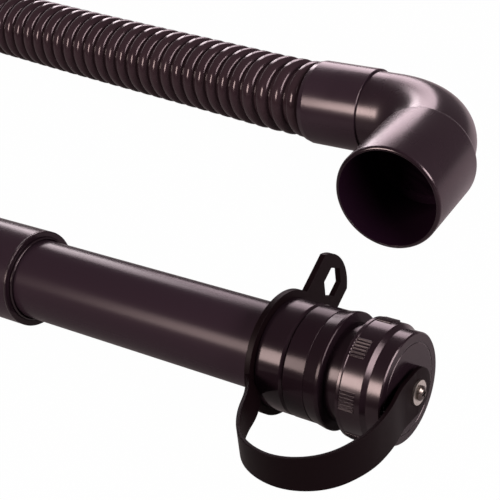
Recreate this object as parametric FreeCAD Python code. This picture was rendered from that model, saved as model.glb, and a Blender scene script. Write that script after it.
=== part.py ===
import FreeCAD, Part
import math
import os

from FreeCAD import Vector

# A drain hose kit for a camper: a telescopic outlet tube with a screw cap on a
# tether, a ribbed hose lying in one loop on the ground, and a swivelling elbow
# that takes the sewer pipe. Sizes are in millimetres. Each piece of the tube is
# drawn about the X axis with the cap's face at x = 0, then moved to its place.

# Tubes
OUTER_TUBE_R = 44.45
OUTER_TUBE_WALL = 3.2
OUTER_TUBE_LENGTH = 404.5
TUBE_GAP = 4.75
INNER_TUBE_R = OUTER_TUBE_R - OUTER_TUBE_WALL - TUBE_GAP
INNER_TUBE_WALL = 3.0
INNER_TUBE_LENGTH = 431.5
EXPOSED_LENGTH = 260.5

# Guide at the mouth of the outer tube
BUSH_FLANGE = 2.0
BUSH_SLEEVE = 25.0
WIPER_R = INNER_TUBE_R + 2.5
WIPER_DEPTH = 4.0
WIPER_STANDOUT = 2.5
SLIDE_CLEARANCE = 0.06
GUIDE_RING_LENGTH = 10.0

# Coupling on the inner tube
SECTION_R = INNER_TUBE_R + 9.5
SECTION_BEVEL = 2.5
SECTION_BEVEL_DROP = 1.5
SECTION_LENGTH = 24.5
SOCKET_DEPTH = 28.5
REAR_NECK_R = INNER_TUBE_R + 3.5
REAR_NECK_LENGTH = 6.0
BEAD_R = REAR_NECK_R + 2.5
BEAD_LENGTH = 3.0
NECK_R = REAR_NECK_R - 0.2
NECK_TO_FACE = 8.0

# Turning collar
COLLAR_BACK_GAP = 0.8
COLLAR_TO_CAP = 16.0
COLLAR_LENGTH = 33.5
COLLAR_R = SECTION_R + 0.2
COLLAR_LIP_R = COLLAR_R + 1.8
COLLAR_CHAMFER = 1.0
COLLAR_CLEARANCE = 0.1
COLLAR_STRAIGHT = 19.0
COLLAR_STEP = 0.4
COLLAR_LIP = 3.0
COLLAR_LIP_EDGE = 0.8

# Screw cap
SKIRT_R = SECTION_R + 2.5
SKIRT_LENGTH = 20.5
CAP_LENGTH = 36.0
CAP_BODY_R = SKIRT_R - 3.7
CAP_TOP = 5.0
CAP_SLOPE = 3.5
CAP_EDGE = 1.0
THREAD_CLEARANCE = 0.3
BEAD_LINE = 3.0
BEAD_LINE_DEPTH = 0.6
GRIP_PATCHES = 7
GRIP_RIBS = 6
GRIP_PITCH_ANGLE = 3.4
GRIP_FIRST_PATCH = 13.0
GRIP_HEIGHT = 0.6
GRIP_LENGTH = 12.5
GRIP_RIB_ANGLE = 2.0
BOSS_HEIGHT = 5.0
BOSS_WIDTH = 26.0
BOSS_LENGTH = 30.0

# Tether
RING_R = SECTION_R + 6.0
RING_LENGTH = 5.0
RING_CLEARANCE = 0.1
TAB_ANGLE = 30.0
TAB_UPPER = 13.5
TAB_LOWER = 42.0
TAB_REACH = RING_R + 46.0
TAB_END_DROP = 12.0
HOLE_FROM_AXIS = RING_R + 25.0
HOLE_BELOW = 16.0
HOLE_CORNER_R = 14.0
STRAP_THICKNESS = 3.0
STRAP_END_HALF = 19.6
STRAP_MIDDLE_HALF = 13.5
STRAP_ROOT_HALF = 11.5
STRAP_MIDDLE_PART = 0.42
STRAP_BEND_PART = 0.45

# The strap's corners: x from the ring or from the cap's face, and how far out
# from the ring's edge
STRAP_FROM_RING = [(0.0, -7.0), (13.8, 10.0), (23.3, 45.0), (42.8, 70.0)]
STRAP_TO_CAP = [(-36.0, 77.5), (-4.0, 61.0), (11.0, 28.0), (11.5, -4.0)]
STRAP_FLAT_FROM = 24.0

WASHER_R = 10.0
WASHER_THICKNESS = 1.6
SCREW_R = 3.0
SCREW_HEAD_R = 6.0
SCREW_HEAD_HEIGHT = 3.6
SCREW_HEAD_SIDE = 1.8
SCREW_HEAD_SLOPE = 2.2
SCREW_LENGTH = 10.0
SCREW_HOLE_CLEARANCE = 0.25
RECESS_WIDTH = 1.6
RECESS_SPAN = 6.4
RECESS_DEPTH = 2.0
INSERT_R = 4.5
INSERT_LENGTH = 9.0

# Hose
HOSE_R = OUTER_TUBE_R - 0.95
HOSE_ROOT_R = HOSE_R - 3.5
HOSE_BORE_R = HOSE_ROOT_R - 1.5
LOOP_WALL = 1.5
HOSE_SIDES = 16
RIB_PITCH = 21.0
RIB_CREST = 7.0
RIB_FLANK = 4.0
HOSE_LENGTH = 3048.0
STATION_ANGLE = 12.0
HOSE_LEAD = 158.5
BEND_PART = 0.45
FRONT_START_PART = 0.83

# Hose cuffs
CUFF_R = OUTER_TUBE_R + 2.35
CUFF_LENGTH = 74.0
CUFF_EDGE = 0.5
CUFF_NOSE = 6.0
CUFF_NOSE_R = CUFF_R - 1.6
CUFF_HOSE_DEPTH = 44.0
CUFF_STOP = 4.0
CUFF_CLEARANCE = 0.1

# Elbow, a little short of a right angle as drain bends are, and its pipe socket
ELBOW_TURN = 85.0
ELBOW_BEND_R = 80.0
ELBOW_STEPS = 7
ELBOW_END = 10.1
ELBOW_ACROSS = 428.0
ELBOW_CORNER_X = -178.0
SOCKET_BORE_R = OUTER_TUBE_R + 6.75
SOCKET_R = SOCKET_BORE_R + 4.0
SOCKET_DEPTH_IN = 90.0
SOCKET_NECK = 7.0
SOCKET_SHOULDER = 4.5
SOCKET_SHOULDER_DROP = 4.5
SOCKET_EDGE = 0.8
SOCKET_CLEARANCE = 0.05
SEAL_BACK = 12.0
SEAL_WIDTH = 6.0
SEAL_DEPTH = 2.0
FRONT_CUFF_BACK = -348.0

# Places along the tube, with the cap's face at x = 0
SKIRT_BACK = -CAP_LENGTH
NECK_END = -NECK_TO_FACE
COLLAR_FRONT = SKIRT_BACK - COLLAR_TO_CAP
COLLAR_REAR = COLLAR_FRONT - COLLAR_LENGTH
SECTION_FRONT = COLLAR_REAR - COLLAR_BACK_GAP
SECTION_BACK = SECTION_FRONT - SECTION_LENGTH
RING_BACK = SECTION_BACK - (REAR_NECK_LENGTH + RING_LENGTH) / 2
BODY_BACK = SECTION_BACK - REAR_NECK_LENGTH - BEAD_LENGTH
TUBE_SEAT = BODY_BACK + SOCKET_DEPTH
BODY_BORE_R = INNER_TUBE_R - INNER_TUBE_WALL
INNER_BACK = TUBE_SEAT - INNER_TUBE_LENGTH
MOUTH = BODY_BACK - EXPOSED_LENGTH - WIPER_STANDOUT
TUBE_END = MOUTH - BUSH_FLANGE
TUBE_BACK = TUBE_END - OUTER_TUBE_LENGTH
OUTER_BORE_R = OUTER_TUBE_R - OUTER_TUBE_WALL
TAIL_STOP = TUBE_BACK - CUFF_STOP
TAIL_CUFF_BACK = TAIL_STOP - CUFF_HOSE_DEPTH
STRAP_FRONT = BOSS_HEIGHT + STRAP_THICKNESS
WASHER_FRONT = STRAP_FRONT + WASHER_THICKNESS
SCREW_FRONT = WASHER_FRONT + SCREW_HEAD_HEIGHT
TUBE_HEIGHT = RING_R

# Places round the elbow
FRONT_STOP = FRONT_CUFF_BACK + CUFF_HOSE_DEPTH
SPIGOT_BACK = FRONT_STOP + CUFF_STOP
ELBOW_HEIGHT = SOCKET_R
ELBOW_LIFT = ELBOW_HEIGHT - TUBE_HEIGHT
ELBOW_REACH = ELBOW_BEND_R * math.tan(math.radians(ELBOW_TURN / 2))
BEND_START = ELBOW_CORNER_X - ELBOW_REACH
ELBOW_PIPE_LEG = ELBOW_REACH + ELBOW_END + SOCKET_DEPTH_IN
SOCKET_LENGTH = SOCKET_DEPTH_IN + SOCKET_NECK

# The hose's route from the tube to the elbow: x and y as above, and the height
# of the hose's axis over the ground. It lies on the ground but for its ends.
LYING = HOSE_R
ROUTE = [
    (TAIL_STOP, 0.0, TUBE_HEIGHT),
    (TAIL_STOP - HOSE_LEAD, 0.0, TUBE_HEIGHT),
    (-1144.0, -56.0, LYING),
    (-1352.0, -188.0, LYING),
    (-1599.0, -172.0, LYING),
    (-1788.0, -14.0, LYING),
    (-1849.0, 225.0, LYING),
    (-1757.0, 454.0, LYING),
    (-1548.0, 585.0, LYING),
    (-1215.0, 561.5, LYING),
    (-943.0, 525.0, LYING),
    (-785.0, 501.5, LYING),
    (-625.0, 475.0, LYING + 1.0),
    (FRONT_STOP - HOSE_LEAD, ELBOW_ACROSS, ELBOW_HEIGHT),
    (FRONT_STOP, ELBOW_ACROSS, ELBOW_HEIGHT),
]
HIDDEN_CORNERS = 9

AXIS_X = Vector(1, 0, 0)
AXIS_Y = Vector(0, 1, 0)
AXIS_Z = Vector(0, 0, 1)
ORIGIN = Vector(0, 0, 0)


def lathe(outline, across=0.0, up=0.0):
    """Turn a closed outline of (x, radius) points about a line along X."""
    points = [Vector(x, across + radius, up) for x, radius in outline]
    face = Part.Face(Part.makePolygon(points + points[:1]))
    return face.revolve(Vector(0, across, up), AXIS_X, 360)


def rod(x, length, radius):
    """A round bar about the X axis."""
    return Part.makeCylinder(radius, length, Vector(x, 0, 0), AXIS_X)


def smooth_path(points, part):
    """Edges of a path through corner points, each corner rounded by an arc
    that takes the same part of its shorter run; also the arcs' radii."""
    edges = []
    radii = []
    start = points[0]
    for before, corner, after in zip(points, points[1:], points[2:]):
        back = before - corner
        ahead = after - corner
        reach = part * min(back.Length, ahead.Length)
        back.normalize()
        ahead.normalize()
        half_turn = (math.pi - back.getAngle(ahead)) / 2
        radius = reach / math.tan(half_turn)
        middle = back + ahead
        middle.normalize()
        inset = radius / math.cos(half_turn) - radius
        arc_start = corner + back * reach
        arc_end = corner + ahead * reach
        edges.append(Part.LineSegment(start, arc_start).toShape())
        arc = Part.Arc(arc_start, corner + middle * inset, arc_end)
        edges.append(arc.toShape())
        radii.append(radius)
        start = arc_end
    edges.append(Part.LineSegment(start, points[-1]).toShape())
    return edges, radii


def outer_tube():
    return lathe([
        (TUBE_BACK, OUTER_BORE_R),
        (TUBE_BACK, OUTER_TUBE_R),
        (TUBE_END, OUTER_TUBE_R),
        (TUBE_END, OUTER_BORE_R),
    ])


def mouth_bush():
    """A bush in the mouth of the outer tube, with a flange over its end."""
    bore = INNER_TUBE_R + SLIDE_CLEARANCE
    return lathe([
        (TUBE_END - BUSH_SLEEVE, bore),
        (TUBE_END - BUSH_SLEEVE, OUTER_BORE_R),
        (TUBE_END, OUTER_BORE_R),
        (TUBE_END, OUTER_TUBE_R),
        (MOUTH, OUTER_TUBE_R),
        (MOUTH, WIPER_R),
        (MOUTH - WIPER_DEPTH, WIPER_R),
        (MOUTH - WIPER_DEPTH, bore),
    ])


def wiper_seal():
    """The lip that stands out of the bush and wipes the inner tube."""
    bore = INNER_TUBE_R + SLIDE_CLEARANCE
    middle = (bore + WIPER_R) / 2
    return lathe([
        (MOUTH - WIPER_DEPTH, bore),
        (MOUTH - WIPER_DEPTH, WIPER_R),
        (MOUTH + WIPER_STANDOUT / 2, WIPER_R),
        (MOUTH + WIPER_STANDOUT, middle),
        (MOUTH + WIPER_STANDOUT / 2, bore),
    ])


def inner_tube():
    return lathe([
        (INNER_BACK, BODY_BORE_R),
        (INNER_BACK, INNER_TUBE_R),
        (TUBE_SEAT, INNER_TUBE_R),
        (TUBE_SEAT, BODY_BORE_R),
    ])


def guide_ring():
    """The ring that guides the inner tube's hidden end in the outer tube."""
    ring_r = OUTER_BORE_R - SLIDE_CLEARANCE
    front = INNER_BACK + GUIDE_RING_LENGTH
    return lathe([
        (INNER_BACK, INNER_TUBE_R),
        (INNER_BACK, ring_r),
        (front, ring_r),
        (front, INNER_TUBE_R),
    ])


def coupling_body():
    """The socket on the inner tube, the neck for the tether ring behind it
    and the long neck for the collar and the cap in front."""
    return lathe([
        (BODY_BACK, INNER_TUBE_R),
        (BODY_BACK, BEAD_R),
        (BODY_BACK + BEAD_LENGTH, BEAD_R),
        (BODY_BACK + BEAD_LENGTH, REAR_NECK_R),
        (SECTION_BACK, REAR_NECK_R),
        (SECTION_BACK, SECTION_R),
        (SECTION_FRONT - SECTION_BEVEL, SECTION_R),
        (SECTION_FRONT, SECTION_R - SECTION_BEVEL_DROP),
        (SECTION_FRONT, NECK_R),
        (NECK_END, NECK_R),
        (NECK_END, BODY_BORE_R),
        (TUBE_SEAT, BODY_BORE_R),
        (TUBE_SEAT, INNER_TUBE_R),
    ])


def coupling_collar():
    """The turning collar: straight at the back, then a step and a flare."""
    bore = NECK_R + COLLAR_CLEARANCE
    flare = COLLAR_REAR + COLLAR_STRAIGHT
    lip = COLLAR_FRONT - COLLAR_LIP
    return lathe([
        (COLLAR_REAR, bore),
        (COLLAR_REAR, COLLAR_R - COLLAR_CHAMFER),
        (COLLAR_REAR + COLLAR_CHAMFER, COLLAR_R),
        (flare, COLLAR_R),
        (flare, COLLAR_R - COLLAR_STEP),
        (lip, COLLAR_LIP_R),
        (COLLAR_FRONT - COLLAR_LIP_EDGE, COLLAR_LIP_R),
        (COLLAR_FRONT, COLLAR_LIP_R - COLLAR_LIP_EDGE),
        (COLLAR_FRONT, bore),
    ])


def grip_rib(angle):
    """One fine rib along the cap's skirt, at an angle from the -Y side."""
    half = math.radians(GRIP_RIB_ANGLE / 2)
    middle = math.radians(angle)
    corners = [
        (SKIRT_R - GRIP_HEIGHT, middle - half),
        (SKIRT_R, middle - half),
        (SKIRT_R + GRIP_HEIGHT, middle),
        (SKIRT_R, middle + half),
        (SKIRT_R - GRIP_HEIGHT, middle + half),
    ]
    back = SKIRT_BACK + BEAD_LINE
    points = [Vector(back, -r * math.cos(a), r * math.sin(a)) for r, a in corners]
    face = Part.Face(Part.makePolygon(points + points[:1]))
    return face.extrude(Vector(GRIP_LENGTH, 0, 0))


def cap_shell():
    """The screw cap: a gripped skirt, a step, and the body with its boss."""
    bore = NECK_R + THREAD_CLEARANCE
    step = SKIRT_BACK + SKIRT_LENGTH
    shell = lathe([
        (SKIRT_BACK, bore),
        (SKIRT_BACK, SKIRT_R),
        (SKIRT_BACK + BEAD_LINE - BEAD_LINE_DEPTH, SKIRT_R),
        (SKIRT_BACK + BEAD_LINE, SKIRT_R - BEAD_LINE_DEPTH),
        (step, SKIRT_R - BEAD_LINE_DEPTH),
        (step + CAP_SLOPE, CAP_BODY_R),
        (-CAP_EDGE, CAP_BODY_R),
        (0, CAP_BODY_R - CAP_EDGE),
        (0, 0),
        (-CAP_TOP, 0),
        (-CAP_TOP, bore),
    ])
    boss = Part.makeBox(BOSS_HEIGHT + CAP_TOP / 2, BOSS_LENGTH, BOSS_WIDTH,
                        Vector(-CAP_TOP / 2, -BOSS_LENGTH / 2, -BOSS_WIDTH / 2))
    ribs = []
    patch_step = 360.0 / GRIP_PATCHES
    for patch in range(GRIP_PATCHES):
        for rib in range(GRIP_RIBS):
            offset = (rib - (GRIP_RIBS - 1) / 2) * GRIP_PITCH_ANGLE
            ribs.append(grip_rib(GRIP_FIRST_PATCH + patch * patch_step + offset))
    shell = shell.fuse([boss] + ribs).removeSplitter()
    return shell.cut(rod(BOSS_HEIGHT - INSERT_LENGTH, INSERT_LENGTH, INSERT_R))


def cap_gasket():
    return lathe([
        (NECK_END, BODY_BORE_R),
        (NECK_END, NECK_R),
        (-CAP_TOP, NECK_R),
        (-CAP_TOP, BODY_BORE_R),
    ])


def screw_insert():
    """The metal insert that the screw holds in."""
    insert = rod(BOSS_HEIGHT - INSERT_LENGTH, INSERT_LENGTH, INSERT_R)
    return insert.cut(rod(BOSS_HEIGHT - INSERT_LENGTH + 1, INSERT_LENGTH, SCREW_R))


def cap_screw():
    """A pan-head screw with a cross recess, through washer and strap."""
    shank_end = STRAP_FRONT - SCREW_LENGTH
    screw = lathe([
        (shank_end, 0),
        (shank_end, SCREW_R),
        (WASHER_FRONT, SCREW_R),
        (WASHER_FRONT, SCREW_HEAD_R),
        (WASHER_FRONT + SCREW_HEAD_SIDE, SCREW_HEAD_R),
        (SCREW_FRONT, SCREW_HEAD_R - SCREW_HEAD_SLOPE),
        (SCREW_FRONT, 0),
    ])
    corner = Vector(SCREW_FRONT - RECESS_DEPTH, -RECESS_SPAN / 2, -RECESS_WIDTH / 2)
    slot = Part.makeBox(RECESS_DEPTH, RECESS_SPAN, RECESS_WIDTH, corner)
    cross = slot.copy()
    cross.rotate(ORIGIN, AXIS_X, 90)
    return screw.cut([slot, cross])


def strap_washer():
    hole = SCREW_R + SCREW_HOLE_CLEARANCE
    return lathe([
        (STRAP_FRONT, hole),
        (STRAP_FRONT, WASHER_R),
        (WASHER_FRONT, WASHER_R),
        (WASHER_FRONT, hole),
    ])


def tab_point(along, beside):
    """A point of the tab's plane, along its direction and to its upper side."""
    turn = math.radians(TAB_ANGLE)
    y = along * math.cos(turn) - beside * math.sin(turn)
    z = along * math.sin(turn) + beside * math.cos(turn)
    return Vector(RING_BACK, y, z)


def tether_ring():
    """The ring that turns on the rear neck, with its pull tab and hex hole."""
    ring = rod(RING_BACK, RING_LENGTH, RING_R)
    shoulder = TAB_REACH - TAB_END_DROP
    middle = (TAB_UPPER - TAB_LOWER) / 2
    corners = [
        tab_point(0, -TAB_LOWER),
        tab_point(shoulder, -TAB_LOWER),
        tab_point(TAB_REACH, middle),
        tab_point(shoulder, TAB_UPPER),
        tab_point(0, TAB_UPPER),
    ]
    outline = [
        Part.LineSegment(corners[0], corners[1]),
        Part.Arc(corners[1], corners[2], corners[3]),
        Part.LineSegment(corners[3], corners[4]),
        Part.LineSegment(corners[4], corners[0]),
    ]
    face = Part.Face(Part.Wire([edge.toShape() for edge in outline]))
    tab = face.extrude(Vector(RING_LENGTH, 0, 0))
    centre = tab_point(HOLE_FROM_AXIS, -HOLE_BELOW)
    hexagon = []
    for corner in range(6):
        turn = math.radians(60 * corner)
        hexagon.append(centre + Vector(0, math.sin(turn), math.cos(turn)) * HOLE_CORNER_R)
    hole = Part.Face(Part.makePolygon(hexagon + hexagon[:1])).extrude(Vector(RING_LENGTH, 0, 0))
    bore = rod(RING_BACK, RING_LENGTH, REAR_NECK_R + RING_CLEARANCE)
    return ring.fuse(tab).removeSplitter().cut([hole, bore])


def strap_half_width(part):
    """Half the strap's width at a part of its length from the ring."""
    if part < STRAP_MIDDLE_PART:
        return STRAP_ROOT_HALF + (STRAP_MIDDLE_HALF - STRAP_ROOT_HALF) * part / STRAP_MIDDLE_PART
    rest = (part - STRAP_MIDDLE_PART) / (1 - STRAP_MIDDLE_PART)
    return STRAP_MIDDLE_HALF + (STRAP_END_HALF - STRAP_MIDDLE_HALF) * rest


def tether_strap():
    """The flat strap from the ring round to the cap's screw, where it widens."""
    middle_x = BOSS_HEIGHT + STRAP_THICKNESS / 2
    root_x = RING_BACK + RING_LENGTH / 2
    centre_line = [Vector(root_x + x, -RING_R - out, 0) for x, out in STRAP_FROM_RING]
    centre_line += [Vector(x, -RING_R - out, 0) for x, out in STRAP_TO_CAP]
    centre_line.append(Vector(middle_x, -STRAP_FLAT_FROM, 0))
    centre_line.append(Vector(middle_x, STRAP_END_HALF + 1, 0))
    edges, radii = smooth_path(centre_line, STRAP_BEND_PART)
    print("strap bend radii", [round(radius) for radius in radii])
    line = Path(edges)
    sections = []
    for station in line.stations(line.length):
        point, heading = line.at(station)
        side = heading.cross(AXIS_Z) * (STRAP_THICKNESS / 2)
        up = AXIS_Z * strap_half_width(station / line.length)
        corners = [point + side + up, point - side + up, point - side - up, point + side - up]
        sections.append(Part.makePolygon(corners + corners[:1]))
    strap = Part.makeLoft(sections, True, True)
    # Everything beyond the screw's axis is rounded about it
    low = strap.BoundBox
    before = Part.makeBox(low.XLength, -low.YMin, low.ZLength, Vector(low.XMin, low.YMin, low.ZMin))
    round_end = rod(middle_x - STRAP_THICKNESS, 2 * STRAP_THICKNESS, STRAP_END_HALF)
    strap = strap.common(before.fuse(round_end))
    ring_space = rod(RING_BACK, -RING_BACK, RING_R)
    hole = rod(BOSS_HEIGHT, STRAP_THICKNESS, SCREW_R + SCREW_HOLE_CLEARANCE)
    return strap.cut([ring_space, hole])


def cuff(back, across=0.0, up=0.0):
    """A hose cuff: hose socket at the back, tube socket at the front."""
    hose_bore = HOSE_R / math.cos(math.pi / HOSE_SIDES) + CUFF_CLEARANCE
    tube_bore = OUTER_TUBE_R + CUFF_CLEARANCE
    front = back + CUFF_LENGTH
    stop = back + CUFF_HOSE_DEPTH
    return lathe([
        (back, hose_bore),
        (back, CUFF_NOSE_R),
        (back + CUFF_NOSE, CUFF_R),
        (front - CUFF_EDGE, CUFF_R),
        (front, CUFF_R - CUFF_EDGE),
        (front, tube_bore),
        (stop + CUFF_STOP, tube_bore),
        (stop + CUFF_STOP, OUTER_BORE_R),
        (stop, OUTER_BORE_R),
        (stop, hose_bore),
    ], across, up)


def pipe_point(from_rim):
    """A point on the pipe socket's axis, at a distance in from its rim."""
    turn = math.radians(ELBOW_TURN)
    out = Vector(math.cos(turn), -math.sin(turn), 0)
    corner = Vector(ELBOW_CORNER_X, ELBOW_ACROSS, ELBOW_LIFT)
    return corner + out * (ELBOW_PIPE_LEG - from_rim)


def pipe_lathe(outline):
    """Turn a closed outline of (distance from the rim, radius) points about
    the pipe socket's axis."""
    shape = lathe(outline)
    shape.rotate(ORIGIN, AXIS_Z, 180 - ELBOW_TURN)
    shape.translate(pipe_point(0))
    return shape


def elbow_solid(radius):
    """The spigot, the bend and the end in the pipe socket, at one radius."""
    leg_start = Vector(SPIGOT_BACK, ELBOW_ACROSS, ELBOW_LIFT)
    spigot = Part.makeCylinder(radius, BEND_START - SPIGOT_BACK, leg_start, AXIS_X)
    start = Vector(BEND_START, ELBOW_ACROSS, ELBOW_LIFT)
    pivot = start - AXIS_Y * ELBOW_BEND_R
    rings = []
    for step in range(ELBOW_STEPS + 1):
        ring = Part.Wire(Part.makeCircle(radius, start, AXIS_X))
        ring.rotate(pivot, AXIS_Z, -ELBOW_TURN * step / ELBOW_STEPS)
        rings.append(ring)
    bend_end = pipe_point(ELBOW_PIPE_LEG - ELBOW_REACH)
    run = pipe_point(SOCKET_DEPTH_IN) - bend_end
    end = Part.makeCylinder(radius, run.Length, bend_end, run)
    return spigot.fuse([Part.makeLoft(rings, True, True), end])


def elbow():
    """The bend from the cuff's spigot to the pipe socket."""
    return elbow_solid(OUTER_TUBE_R).cut(elbow_solid(OUTER_BORE_R))


def pipe_socket():
    """The wide socket for the sewer pipe, bonded over the elbow's end."""
    seat = OUTER_TUBE_R + SOCKET_CLEARANCE
    end = SOCKET_LENGTH + SOCKET_SHOULDER
    return pipe_lathe([
        (0, SOCKET_BORE_R),
        (0, SOCKET_R - SOCKET_EDGE),
        (SOCKET_EDGE, SOCKET_R),
        (SOCKET_LENGTH, SOCKET_R),
        (end, SOCKET_R - SOCKET_SHOULDER_DROP),
        (end, seat),
        (SOCKET_DEPTH_IN, seat),
        (SOCKET_DEPTH_IN, SOCKET_BORE_R),
        (SEAL_BACK, SOCKET_BORE_R),
        (SEAL_BACK, SOCKET_BORE_R + SEAL_DEPTH),
        (SEAL_BACK - SEAL_WIDTH, SOCKET_BORE_R + SEAL_DEPTH),
        (SEAL_BACK - SEAL_WIDTH, SOCKET_BORE_R),
    ])


def elbow_seal():
    """The ring in the socket's groove that grips the sewer pipe."""
    return pipe_lathe([
        (SEAL_BACK - SEAL_WIDTH, SOCKET_BORE_R),
        (SEAL_BACK - SEAL_WIDTH, SOCKET_BORE_R + SEAL_DEPTH),
        (SEAL_BACK, SOCKET_BORE_R + SEAL_DEPTH),
        (SEAL_BACK, SOCKET_BORE_R),
    ])


def hose_path():
    """The whole route as edges in the tube's frame, with its radii."""
    points = [Vector(x, y, height - TUBE_HEIGHT) for x, y, height in ROUTE]
    return smooth_path(points, BEND_PART)


class Path:
    """Distances along a row of edges."""

    def __init__(self, edges):
        self.edges = edges
        self.length = sum(edge.Length for edge in edges)

    def at(self, distance):
        """The point and heading at a distance from the start."""
        for edge in self.edges:
            if distance <= edge.Length or edge is self.edges[-1]:
                break
            distance -= edge.Length
        place = edge.getParameterByLength(min(max(distance, 0), edge.Length))
        return edge.valueAt(place), edge.tangentAt(place).normalize()

    def stations(self, end):
        """Distances up to an end: every edge's end, and steps along its arcs."""
        found = [0.0]
        distance = 0.0
        for edge in self.edges:
            steps = 1
            if isinstance(edge.Curve, Part.Circle):
                turn = math.degrees(edge.Length / edge.Curve.Radius)
                steps = max(1, math.ceil(turn / STATION_ANGLE))
            for step in range(1, steps + 1):
                found.append(min(distance + edge.Length * step / steps, end))
            distance += edge.Length
            if distance >= end:
                break
        return found

    def section(self, distance, radius):
        """A many-sided ring round the path, always turned the same way."""
        point, heading = self.at(distance)
        corner_r = radius / math.cos(math.pi / HOSE_SIDES)
        corners = []
        for index in range(HOSE_SIDES + 1):
            angle = 2 * math.pi * (index + 0.5) / HOSE_SIDES
            corners.append(Vector(math.cos(angle), math.sin(angle), 0) * corner_r)
        ring = Part.makePolygon(corners)
        turn = FreeCAD.Rotation(AXIS_Z, Vector(), heading, "ZXY")
        ring.Placement = FreeCAD.Placement(point, turn)
        return ring


def hose_split(path):
    """The distance along the route where the ribbed stretch takes over."""
    hidden = Path(path.edges[:2 * HIDDEN_CORNERS])
    return hidden.length + FRONT_START_PART * path.edges[2 * HIDDEN_CORNERS].Length


def hose_loop(path):
    """The loop on the ground, as a many-sided tube with its bore."""
    stations = path.stations(hose_split(path))
    outside = [path.section(station, HOSE_R) for station in stations]
    inside = [path.section(station, HOSE_R - LOOP_WALL) for station in stations]
    tube = Part.makeLoft(outside, True, True)
    return tube.cut(Part.makeLoft(inside, True, True))


def hose_front(path):
    """The ribbed stretch up to the elbow's cuff."""
    start = hose_split(path)
    count = int((path.length - start) / RIB_PITCH)
    pitch = (path.length - start) / count
    outside = [path.section(start, HOSE_R)]
    inside = [path.section(start, HOSE_BORE_R)]
    for rib in range(count):
        base = start + rib * pitch
        end = base + pitch
        outside.append(path.section(base + RIB_CREST / 2, HOSE_R))
        outside.append(path.section(base + RIB_CREST / 2 + RIB_FLANK, HOSE_ROOT_R))
        outside.append(path.section(end - RIB_CREST / 2 - RIB_FLANK, HOSE_ROOT_R))
        outside.append(path.section(end - RIB_CREST / 2, HOSE_R))
        if rib % 2 == 1 or rib == count - 1:
            inside.append(path.section(end, HOSE_BORE_R))
    outside.append(path.section(path.length, HOSE_R))
    tube = Part.makeLoft(outside, True, True)
    return tube.cut(Part.makeLoft(inside, True, True)), count


edges, radii = hose_path()
path = Path(edges)
print("hose length", round(path.length, 1), "of", HOSE_LENGTH)
print("bend radii", [round(radius) for radius in radii])

front, rib_count = hose_front(path)
print("ribs", rib_count)
strap = tether_strap()

pieces = {
    "outer_tube": outer_tube(),
    "mouth_bush": mouth_bush(),
    "wiper_seal": wiper_seal(),
    "inner_tube": inner_tube(),
    "guide_ring": guide_ring(),
    "coupling_body": coupling_body(),
    "coupling_collar": coupling_collar(),
    "tether_ring": tether_ring(),
    "tether_strap": strap,
    "strap_washer": strap_washer(),
    "cap_shell": cap_shell(),
    "cap_gasket": cap_gasket(),
    "screw_insert": screw_insert(),
    "cap_screw": cap_screw(),
    "tail_cuff": cuff(TAIL_CUFF_BACK),
    "hose_loop": hose_loop(path),
    "hose_front": front,
    "front_cuff": cuff(FRONT_CUFF_BACK, ELBOW_ACROSS, ELBOW_LIFT),
    "elbow": elbow(),
    "pipe_socket": pipe_socket(),
    "elbow_seal": elbow_seal(),
}

# The origin is on the ground, under the middle of the tube with its tether
centre_x = (TAIL_CUFF_BACK + strap.BoundBox.XMax) / 2
centre_y = (strap.BoundBox.YMin + pieces["tether_ring"].BoundBox.YMax) / 2
shift = Vector(-centre_x, -centre_y, TUBE_HEIGHT)
print("shift", [round(value, 3) for value in shift])
for name, shape in pieces.items():
    shape.translate(shift)
    shape.exportStep("parts/" + name + ".step")
    box = shape.BoundBox
    print(name, shape.isValid(), len(shape.Solids), round(shape.Volume),
          [round(v, 1) for v in (box.XMin, box.YMin, box.ZMin, box.XMax, box.YMax, box.ZMax)])
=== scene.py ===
"""Looks of a camper's drain hose kit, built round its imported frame."""

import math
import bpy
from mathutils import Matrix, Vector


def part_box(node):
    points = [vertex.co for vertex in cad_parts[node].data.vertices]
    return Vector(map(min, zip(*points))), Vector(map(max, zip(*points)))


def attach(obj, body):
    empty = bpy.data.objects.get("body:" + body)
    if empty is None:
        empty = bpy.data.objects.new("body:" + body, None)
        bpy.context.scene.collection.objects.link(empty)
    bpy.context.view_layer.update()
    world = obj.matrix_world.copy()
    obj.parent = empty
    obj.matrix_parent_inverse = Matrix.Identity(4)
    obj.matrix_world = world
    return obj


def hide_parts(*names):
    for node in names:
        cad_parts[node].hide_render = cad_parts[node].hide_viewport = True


bl_info = {
    "name": "Drain Hose Kit",
    "version": (1, 0, 0),
    "blender": (4, 5, 0),
    "location": "View3D > Sidebar > Hose Kit",
    "description": "Ribbed hose, plastics, seals, steel and stage for a camper's drain hose kit",
    "category": "Object",
}

import bmesh
import bpy
from bpy.props import (
    FloatProperty,
    FloatVectorProperty,
    IntProperty,
    PointerProperty,
    StringProperty,
)
from mathutils import Matrix, Vector

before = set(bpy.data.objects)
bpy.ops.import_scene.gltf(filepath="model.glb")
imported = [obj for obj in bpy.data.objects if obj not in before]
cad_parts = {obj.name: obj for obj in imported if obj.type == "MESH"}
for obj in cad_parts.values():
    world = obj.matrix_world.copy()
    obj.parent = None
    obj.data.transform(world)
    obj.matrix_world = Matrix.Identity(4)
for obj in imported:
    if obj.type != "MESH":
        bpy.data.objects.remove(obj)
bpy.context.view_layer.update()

# The cap's face stands this far past the coupling, in metres
CAP_PAST_COUPLING = 0.008

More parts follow.
